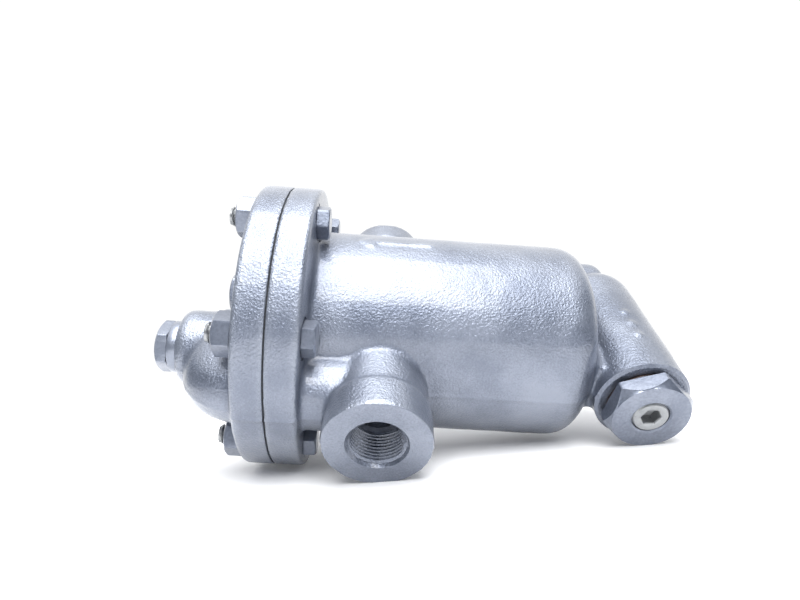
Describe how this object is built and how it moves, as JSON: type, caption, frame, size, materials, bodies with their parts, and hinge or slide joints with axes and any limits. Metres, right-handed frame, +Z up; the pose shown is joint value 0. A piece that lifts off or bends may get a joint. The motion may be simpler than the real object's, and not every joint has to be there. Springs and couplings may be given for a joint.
{
  "type": "inverted bucket steam trap",
  "caption": "Inverted bucket steam trap with side ports in line, a bolted cap and an integral strainer with its own plug.",
  "frame": {"origin": "centre of the inlet port's mouth", "axes": "+Y out of the inlet port along the line of the two ports, +Z up along the body towards the cap, +X to the side"},
  "size_m": [0.143, 0.165, 0.2569],
  "materials": {
    "enamel_casting": "semi-gloss enamel over sand-cast iron",
    "enamel_hardware": "thin enamel over machined steel",
    "gasket_fibre": "matt compressed fibre",
    "plug_steel": "thinly painted steel",
    "bare_steel": "bare machined steel",
    "stainless": "stainless sheet and bar",
    "copper_ring": "soft metal sealing ring"
  },
  "bodies": {
    "housing": {"body": "enamel_casting", "cap": "enamel_casting", "cap_gasket": "gasket_fibre", "cap_bolts": "enamel_hardware", "cap_nuts": "enamel_hardware", "test_plug": "plug_steel", "cap_plug": "enamel_hardware", "valve_seat": "stainless", "guide_bracket": "stainless", "bracket_screws": "stainless", "guide_pins": "stainless", "inlet_tube": "bare_steel", "strainer_screen": "stainless", "strainer_plug": "enamel_hardware", "strainer_gasket": "copper_ring", "blowdown_plug": "bare_steel"},
    "bucket": {"bucket": "stainless", "bucket_clip": "stainless", "clip_rivets": "stainless"},
    "lever": {"lever": "stainless", "valve": "stainless", "valve_nut": "stainless"}
  },
  "joints": [
    {"name": "bucket_lift", "type": "slide", "parent": "housing", "child": "bucket", "axis": [0, 0, 1], "range_m": [0, 0.00522]},
    {"name": "lever_swing", "type": "hinge", "parent": "housing", "child": "lever", "pos_m": [0, -0.119, 0.046], "axis": [1, 0, 0], "range_deg": [0, 8]}
  ],
  "couplings": [
    {"joint": "lever_swing", "follows": "bucket_lift", "rad_per_m": 26.75}
  ]
}
